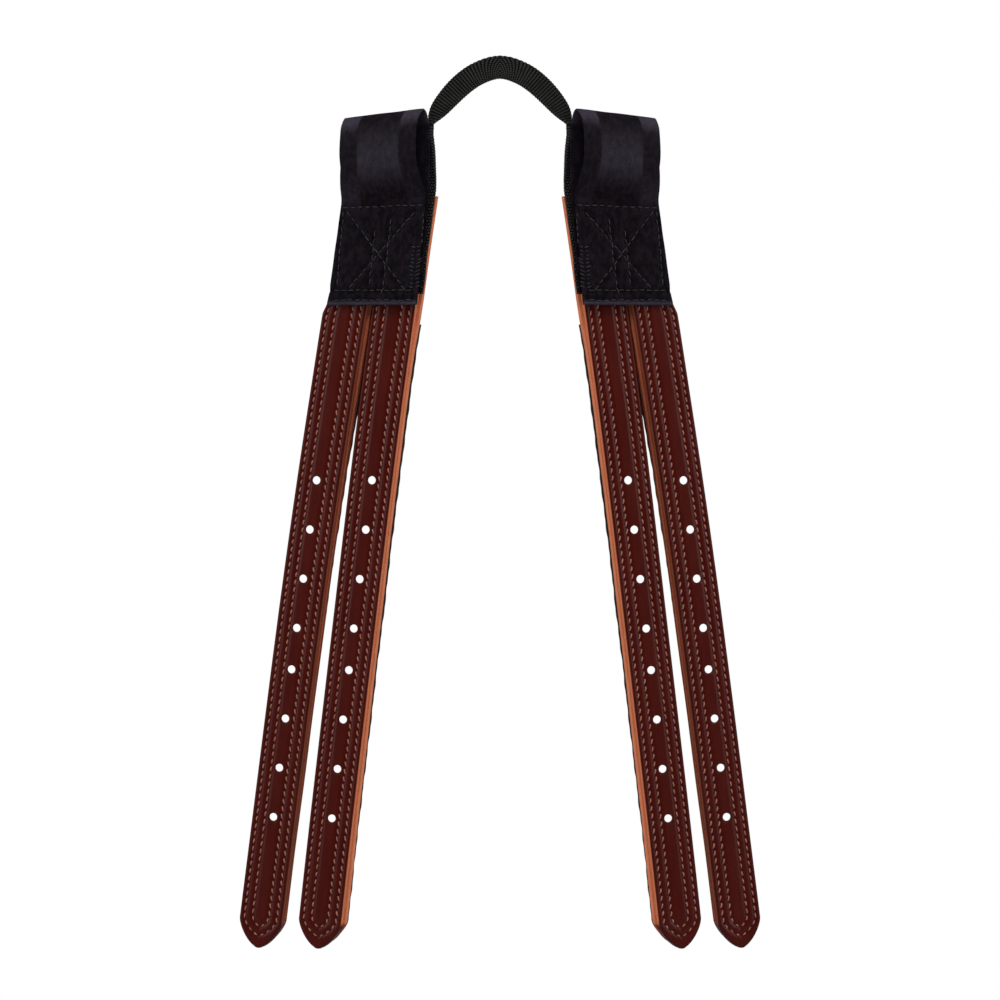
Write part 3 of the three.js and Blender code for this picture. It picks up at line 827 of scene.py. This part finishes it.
def layer(billet, start, shorter, columns, width, front_depth, back_depth, nudge=None):
    """A punched, pointed layer of a billet: its points in the unit's frame, its faces and each point's place.

    front_depth and back_depth give the depth of each surface from places across and down. nudge is how far
    the edge near the middle stands out beyond the width, from distances down.
    """
    end = billet.length - shorter
    down = down_stations(start, end, billet.holes)
    half = billet.outline(down, width, shorter)
    wide = np.broadcast_to(columns[None, :] * half[:, None] / (width / 2), (len(down), len(columns)))
    deep = np.broadcast_to(down[:, None], wide.shape)
    inner_side = smooth_between(4.0, 11.0, columns)[None, :]
    moved = 0 * wide if nudge is None else nudge(deep) * inner_side
    rows, count = wide.shape
    all_points, all_faces, all_places, rims = [], [], [], []
    total = 0
    for depth_of in (front_depth, back_depth):
        depth = depth_of(wide, deep)
        flat = billet.place(wide + moved, deep)
        points = np.stack([flat[..., 0], depth, flat[..., 1]], axis=-1).reshape(-1, 3)
        keep = np.ones((rows - 1, count - 1), bool)
        where = np.stack([wide, deep], axis=-1).reshape(-1, 2)
        extra_points, extra_where, extra_faces, surface_rims = [], [], [], []
        used = rows * count
        for hole, aside in zip(billet.holes, billet.asides):
            row = int(np.argmin(np.abs(down - hole)))
            middle_depth = float(depth_of(np.array([[0.0]]), np.array([[hole]]))[0, 0])
            shift = aside - (middle_depth - billet.front) * hole_skew
            column = int(np.argmin(np.abs(columns - shift)))
            up, low = row - hole_reach, row + hole_reach
            left, right = column - hole_reach, column + hole_reach
            keep[up:low, left:right] = False
            border = [(up, c) for c in range(left, right)] + [(r, right) for r in range(up, low)]
            border += [(low, c) for c in range(right, left, -1)] + [(r, left) for r in range(low, up, -1)]
            previous = np.array([r * count + c for r, c in border])
            centre = billet.place(np.array(0.0), np.array(hole)) + (shift, 0)
            offsets = points[previous][:, [0, 2]] - centre
            angle = np.arctan2(offsets[:, 1], offsets[:, 0])
            for grow, sunk in ((0.75, 0.0), (0.4, 0.08), (0.15, 0.22), (0.0, 0.5)):
                reach_x = (hole_diameter / 2) / math.cos(unit_turn) + grow
                reach_z = hole_diameter / 2 + grow
                ring = centre + np.stack([np.cos(angle) * reach_x, np.sin(angle) * reach_z], axis=-1)
                inwards = sunk if depth_of is front_depth else -sunk
                ring_depth = np.full(len(angle), middle_depth + inwards)
                if grow > 0.5:
                    ring_depth = 0.5 * ring_depth + 0.5 * points[previous][:, 1]
                extra_points.append(np.stack([ring[:, 0], ring_depth, ring[:, 1]], axis=-1))
                extra_where.append(np.stack([0 * angle + grow, 0 * angle + hole], axis=-1))
                current = used + np.arange(len(angle))
                used += len(angle)
                ring_faces = [previous, np.roll(previous, -1), np.roll(current, -1), current]
                extra_faces.append(np.stack(ring_faces, axis=-1))
                previous = current
            surface_rims.append(previous + total)
        faces = grid_faces(rows, count)[keep.reshape(-1)]
        surface = np.vstack([faces, *extra_faces]) + total
        if depth_of is back_depth:
            surface = surface[:, ::-1]
        all_faces.append(surface)
        all_points.append(np.vstack([points, *extra_points]))
        all_places.append(np.vstack([where, *extra_where]))
        rims.append(surface_rims)
        total += used
    offset = len(all_points[0])
    edge = [r * count for r in range(rows)] + [(rows - 1) * count + c for c in range(1, count)]
    edge += [r * count + count - 1 for r in range(rows - 2, -1, -1)] + list(range(count - 2, 0, -1))
    edge = np.array(edge)
    beside = np.roll(edge, -1)
    all_faces.append(np.stack([edge, beside, beside + offset, edge + offset], axis=-1))
    for front_rim, back_rim in zip(*rims):
        walls = [np.roll(front_rim, -1), front_rim, back_rim, np.roll(back_rim, -1)]
        all_faces.append(np.stack(walls, axis=-1))
    return np.vstack(all_points), np.vstack(all_faces), np.vstack(all_places)


def straight_out(down, half_of):
    """How much of a sideways distance is straight out from a slanting line at the point."""
    slope = (half_of(down + 0.05) - half_of(down - 0.05)) / 0.1
    return 1 / np.sqrt(1 + np.clip(slope, -6, 6) ** 2)


def face_depth(billet, across, down):
    """Depth of the burgundy leather's front: rounded edges, two sunk rows and a raised middle."""
    away = (billet.outline(down) - np.abs(across)) * straight_out(down, billet.outline)
    away = np.minimum(away, billet.length - down + 0.02)
    height = -edge_drop(away, 1.25) + 0.10 * np.cos(np.clip(across / 13, -1, 1) * np.pi / 2)
    rows = []
    for seam in range(len(seam_labels)):
        offset = np.abs(across) - billet.seam_half(seam, down)
        offset = offset * straight_out(down, lambda d: billet.seam_half(seam, d))
        past = np.maximum(0, down - (billet.length - seam_apexes[seam]))
        rows.append(offset + past)
        height = height - 0.42 * np.exp(-(np.hypot(offset, past) / 0.85) ** 2)
    height = height + 0.22 * smooth_between(-0.4, -2.4, rows[1])
    height = height + 0.12 * np.exp(-(((rows[0] + 2.5) / 1.2) ** 2))
    return billet.front - height + 0.1 + billet.sway(down)


burgundy_look, tree, shader = new_material("burgundy leather", 0.32, 0.06)
place = attribute(tree, "place", "Vector")
grain = noise(tree, stretch(tree, place, (1.0, 1.0, 0.8)), 1.6, 4.0, 0.6)
pores = add_node(tree, "ShaderNodeTexVoronoi", {"Vector": place, "Scale": 1.7, "Randomness": 1.0})
mottle = noise(tree, stretch(tree, place, (0.10, 0.10, 0.035)), 1.0, 3.0)
streak = noise(tree, stretch(tree, place, (0.55, 0.3, 0.02)), 1.0, 2.0)
burnish = calculate(tree, "MULTIPLY", attribute(tree, "edge"), 0.6, clamp=True)
colour = mix_colours(tree, mottle, (0.034, 0.0024, 0.0012), (0.060, 0.0056, 0.0034))
colour = mix_colours(tree, calculate(tree, "MULTIPLY", streak, 0.45), colour, (0.022, 0.0016, 0.0010))
colour = mix_colours(tree, burnish, colour, (0.020, 0.0032, 0.0028))
# Tan of the bare cut edge, held back on the outer billet as painted shade.
colour = mix_colours(tree, attribute(tree, "raw"), colour, (0.46, 0.140, 0.064))
needle_hole_shade = None  # painted shade in the needle holes at the ends of each stitch; the same mask also sinks them with a bump
for label in seam_labels:
    row = attribute(tree, f"{label}_row")
    share = calculate(tree, "FRACT", attribute(tree, f"{label}_run"))
    from_hole = calculate(tree, "ABSOLUTE", calculate(tree, "SUBTRACT", share, 0.5))
    from_hole = calculate(tree, "MULTIPLY", from_hole, stitch_pitch)
    squares = [calculate(tree, "POWER", part, 2.0) for part in (from_hole, row)]
    away = calculate(tree, "SQRT", calculate(tree, "ADD", *squares))
    span = {0: away, 1: 0.15, 2: 0.75, 3: 1.0, 4: 0.0}
    hole_shade = add_node(tree, "ShaderNodeMapRange", span, interpolation_type="SMOOTHSTEP").outputs[0]
    needle_hole_shade = hole_shade if needle_hole_shade is None else calculate(tree, "MAXIMUM", needle_hole_shade, hole_shade)
# Painted shade darkens the needle holes.
colour = mix_colours(tree, calculate(tree, "MULTIPLY", needle_hole_shade, 0.75), colour, (0.009, 0.0014, 0.0012))
tree.links.new(colour, shader.inputs["Base Color"])
tree.links.new(calculate(tree, "MULTIPLY_ADD", mottle, 0.22, 0.20), shader.inputs["Roughness"])
skin = calculate(tree, "MULTIPLY_ADD", pores.outputs["Distance"], 0.5, grain)
fine = raised(tree, skin, 0.00006, 0.55)
low = raised(tree, calculate(tree, "SUBTRACT", 1.0, needle_hole_shade), 0.0002, 0.6, fine)
tree.links.new(low, shader.inputs["Normal"])

billets = [Billet("outer"), Billet("inner")]
edge_columns = (0, 0.06, 0.2, 0.42, 0.7, 1.05, 1.5, 2.0)
seam_columns = (2.35, 2.7, 2.95, 3.2, 3.45, 3.7, 4.1, 4.6, 5.2, 5.8, 6.4, 6.9)
face_columns_mm = mirrored_columns((*edge_columns, *seam_columns), 6.0, billet_width / 2)

for billet in billets:
    points, faces, where = layer(
        billet,
        -1.6,
        0.0,
        face_columns_mm,
        billet_width,
        lambda a, d: face_depth(billet, a, d),
        lambda a, d: billet.front + face_thickness + 0.25 + billet.sway(d) - billet.rounding(a, d, 0.1),
    )
    across, down = where.T
    facts = {"place": points}
    for seam, label in enumerate(seam_labels):
        past = np.maximum(0, down - (billet.length - seam_apexes[seam]))
        _, path_down, run = billet.seam_path(seam)
        facts[f"{label}_row"] = np.abs(across) - billet.seam_half(seam, down) + 2 * past
        facts[f"{label}_run"] = np.interp(down, path_down, run)
    outline = billet.outline(down)
    shoulder = billet.length - tip_length
    raw = raw_tan_shares_with_shade[billet.which] * smooth_between(shoulder + 2, shoulder - 1, down)
    facts["edge"] = np.exp(-np.clip(outline - np.abs(across), 0, 9) / 0.7)
    facts["raw"] = raw * smooth_between(0.30, 0.06, outline - across) * smooth_between(1, 6, across)
    for side in ("left", "right"):
        body = f"{side}_{billet.which}_billet"
        face = add_piece(f"{body}_face", side, from_unit(points), faces, burgundy_look, facts, sharp_angle)
        start, end = billet.bend(side)
        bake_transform(face)
        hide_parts(f"{body}_head_face", f"{body}_face_leather")

# ======== Second leathers ========
# A tan, undyed leather glued behind each face and sewn through with it. It is cut a little wider on the side
# near the middle and a little shorter at the point. Its flesh side is napped, and its cut edge is raw.
tan_shorter = 1.6
overhang_downs = (0, 57, 70, 90, 165, 300, 384, 437)
overhangs = {  # how far the tan shows beyond the face, at those distances down
    "outer": (1.5, 1.6, 1.7, 1.5, 0.9, 0.5, 0.1, 0.1),
    "inner": (2.0, 2.0, 1.7, 0.7, 0.5, 0.8, 1.1, 1.2),
}
painted_edge_shadows = {"outer": 0.7, "inner": 0.0}  # painted shadow: how dark the outer billet's tan edge is painted where the inner billet shades it


def overhang(billet, down):
    """How far the tan leather shows beyond the face on the side near the middle."""
    narrowing = np.clip((billet.length - down) / tip_length, 0, 1)
    wide_by = np.interp(down, overhang_downs, overhangs[billet.which])
    return (wide_by + 0.08 * np.sin(down / 13 + sway_phases[billet.which])) * narrowing**0.5


tan_look, tree, shader = new_material("tan leather", 0.62, 0.15)
place = attribute(tree, "place", "Vector")
mottle = noise(tree, stretch(tree, place, (0.3, 0.3, 0.06)), 1.0, 4.0)
fibres = noise(tree, stretch(tree, place, (1.2, 3.0, 0.7)), 1.4, 4.0, 0.7)
dirt = noise(tree, stretch(tree, place, (0.25, 0.25, 0.12)), 1.0, 5.0, 0.7)
dirt = add_node(tree, "ShaderNodeMapRange", {0: dirt, 1: 0.56, 2: 0.70}).outputs[0]
# Painted shadow: the dark red darkens the outer billet's tan edge in the inner billet's shadow; it also colours
# both billets' tan towards the point.
painted_shadow_and_tip_red = calculate(tree, "MINIMUM", attribute(tree, "painted_shadow_and_tip_red"), 1.0)
colour = mix_colours(tree, mottle, (0.36, 0.105, 0.048), (0.66, 0.220, 0.110))
colour = mix_colours(tree, calculate(tree, "MULTIPLY", fibres, 0.35), colour, (0.30, 0.075, 0.028))
colour = mix_colours(tree, calculate(tree, "MULTIPLY", dirt, 0.35), colour, (0.10, 0.030, 0.014))
colour = mix_colours(tree, painted_shadow_and_tip_red, colour, (0.19, 0.026, 0.011))
tree.links.new(colour, shader.inputs["Base Color"])
tree.links.new(raised(tree, fibres, 0.00022, 0.8), shader.inputs["Normal"])

tan_edge_columns = (0, 0.05, 0.17, 0.35, 0.6, 1.2, 2.0, 3.0, 4.0, 5.0)
tan_columns_mm = mirrored_columns(tan_edge_columns, 7.8, billet_width / 2)

for billet in billets:
    points, faces, where = layer(
        billet,
        -2.4,
        tan_shorter,
        tan_columns_mm,
        billet_width,
        lambda a, d: billet.back + billet.sway(d) + billet.rounding(a, d, 0.1, shorter=tan_shorter),
        lambda a, d: billet.back
        + back_thickness
        + billet.sway(d)
        - billet.rounding(a, d, 0.6, shorter=tan_shorter),
        nudge=lambda d: overhang(billet, d),
    )
    across, down = where.T
    shoulder = billet.length - tip_length
    # Painted shadow on the outer billet's edge near the middle; past the shoulder both billets' tan turns dark
    # red.
    shadow_and_tip_red = painted_edge_shadows[billet.which] * smooth_between(9, 13, across)
    shadow_and_tip_red = np.maximum(shadow_and_tip_red, 1.6 * smooth_between(shoulder - 1, shoulder + 2, down))
    facts = {"place": points, "painted_shadow_and_tip_red": shadow_and_tip_red}
    for side in ("left", "right"):
        body = f"{side}_{billet.which}_billet"
        tan = add_piece(f"{body}_back", side, from_unit(points), faces, tan_look, facts, sharp_angle)
        start, end = billet.bend(side)
        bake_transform(tan)
        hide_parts(f"{body}_head_back", f"{body}_back_leather")

# ======== Nylon backings ========
# Black plain-woven nylon tape behind the two leathers of each billet, which keeps them from stretching. It
# starts just below the hem, and it is sewn through with the leathers. Its edge is uneven.
nylon_width = 24.0
nylon_thickness = 1.4
nylon_start = 9.0
nylon_shorter = 2.6
nylon_shift = 0.9
nylon_beyond = {  # how much further than the tan it shows, at the same distances down
    "outer": (0, 0, 0.9, 1.6, 0.1, -0.6, -0.9, -0.9),
    "inner": (0, 0, 0.4, 1.2, 1.2, 0.8, 0.4, 0.3),
}


def nylon_top(billet):
    """How far down a billet its backing starts."""
    return billet.down_at(hem_line - nylon_start)


def nylon_edge(billet, down):
    """How far the nylon's uneven edge stands out on the side near the middle."""
    uneven = 0.06 * np.sin(down / 9) + 0.14 * np.sin(down / 3.7) + 0.12 * np.sin(down / 1.6)
    beyond = np.interp(down, overhang_downs, nylon_beyond[billet.which])
    return overhang(billet, down) + nylon_shift + beyond + uneven


def nylon_depth(billet, across, down, behind, radius):
    """Depth of a surface of the backing that is so far behind its front and has edges of that radius."""
    rounding = billet.rounding(across, down, radius, nylon_width, nylon_shorter)
    return billet.nylon_front + behind + billet.sway(down) + (rounding if behind == 0 else -rounding)


backing_look, tree, shader = new_material("woven nylon backing", 0.55, 0.15)
place = attribute(tree, "place", "Vector")
parts = add_node(tree, "ShaderNodeSeparateXYZ", {0: place}).outputs
over = calculate(tree, "SINE", calculate(tree, "MULTIPLY", parts[0], 5.2))
under = calculate(tree, "SINE", calculate(tree, "MULTIPLY", parts[2], 4.4))
basket = calculate(tree, "MULTIPLY_ADD", calculate(tree, "MULTIPLY", over, under), 0.5, 0.5)
fuzz = noise(tree, place, 2.4, 3.0)
tone = calculate(tree, "MULTIPLY", basket, calculate(tree, "MULTIPLY_ADD", fuzz, 0.6, 0.5))
colour = mix_colours(tree, tone, (0.0035, 0.0033, 0.0036), (0.022, 0.021, 0.023))
tree.links.new(colour, shader.inputs["Base Color"])
tree.links.new(raised(tree, basket, 0.00025, 0.9), shader.inputs["Normal"])

nylon_columns_mm = mirrored_columns((0, 0.1, 0.3, 0.7, 1.4, 2.2, 3.0, 3.7), 7.8, nylon_width / 2)

for billet in billets:
    points, faces, _ = layer(
        billet,
        nylon_top(billet),
        nylon_shorter,
        nylon_columns_mm,
        nylon_width,
        lambda a, d: nylon_depth(billet, a, d, 0, 0.3),
        lambda a, d: nylon_depth(billet, a, d, nylon_thickness, 0.5),
        nudge=lambda d: nylon_edge(billet, d),
    )
    for side in ("left", "right"):
        body = f"{side}_{billet.which}_billet"
        facts = {"place": points}
        nylon = add_piece(f"{body}_nylon", side, from_unit(points), faces, backing_look, facts, sharp_angle)
        start, end = billet.bend(side)
        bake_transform(nylon)
        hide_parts(f"{body}_nylon_backing")

# ======== Billet stitching ========
# Brown bonded thread, lockstitched through all three layers in two rows down each side of a billet. The rows
# of the two sides meet in a V at the point. The stitches lean across their row, and show on the backing too.
stitch_length = 3.1
stitch_lean = {-1: -0.45, 1: 1.1}  # on the outboard side and the side near the middle
seam_thread_width = 0.95
seam_thread_rise = 0.36
seam_thread_sink = 0.6
clear_of_hole = 1.7
clear_of_nylon_top = 4


def on_billet(billet, across, down, depth):
    """The scene's points for places on a billet."""
    flat = billet.place(across, down)
    return from_unit(np.stack([flat[:, 0], depth, flat[:, 1]], axis=-1))


billet_thread = thread_material("brown billet thread", (0.13, 0.042, 0.030), (0.46, 0.205, 0.155), 0.5)

for billet in billets:
    behind = billet.nylon_front + nylon_thickness
    for seam, label in enumerate(seam_labels):
        path_across, path_down, run = billet.seam_path(seam)
        first = run[np.searchsorted(path_down, billet.down_at(hem_line + 1))]
        whole = np.arange(math.ceil(first), run[-1])
        parts = []
        for edge_side, lean in stitch_lean.items():
            ends = []
            for offset in (-0.5, 0.5):
                at = whole + offset * stitch_length / stitch_pitch
                across = edge_side * np.interp(at, run, path_across) + offset * lean
                ends.append((across, np.interp(at, run, path_down)))
            middle_across, middle_down = (np.array(ends[0]) + np.array(ends[1])) / 2
            clear = ends[0][1] > nylon_top(billet) + clear_of_nylon_top
            for hole, aside in zip(billet.holes, billet.asides):
                moved = aside - (behind - billet.front) * hole_skew
                away = np.hypot(middle_across - moved, middle_down - hole)
                clear &= away > hole_diameter / 2 + clear_of_hole
            fronts = [on_billet(billet, a, d, face_depth(billet, a, d) - 0.02) for a, d in ends]
            backs = [on_billet(billet, a, d, behind + billet.sway(d))[clear] for a, d in ends]
            for (starts, stops), way in ((fronts, front_way), (backs, -front_way)):
                ways = np.tile(way, (len(starts), 1))
                parts.append(
                    stitches(starts, stops, ways, seam_thread_width, seam_thread_rise, seam_thread_sink)
                )
        counts = np.cumsum([0] + [len(points) for points, _, _ in parts])
        points = np.vstack([p for p, _, _ in parts])
        faces = np.vstack([f + start for (_, f, _), start in zip(parts, counts)])
        facts = {"place": np.vstack([t for _, _, t in parts])}
        for side in ("left", "right"):
            body = f"{side}_{billet.which}_billet"
            row = add_piece(f"{body}_{label}_stitches", side, points, faces, billet_thread, facts)
            start, end = billet.bend(side)
            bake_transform(row)
            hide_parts(f"{body}_{label}_seam")
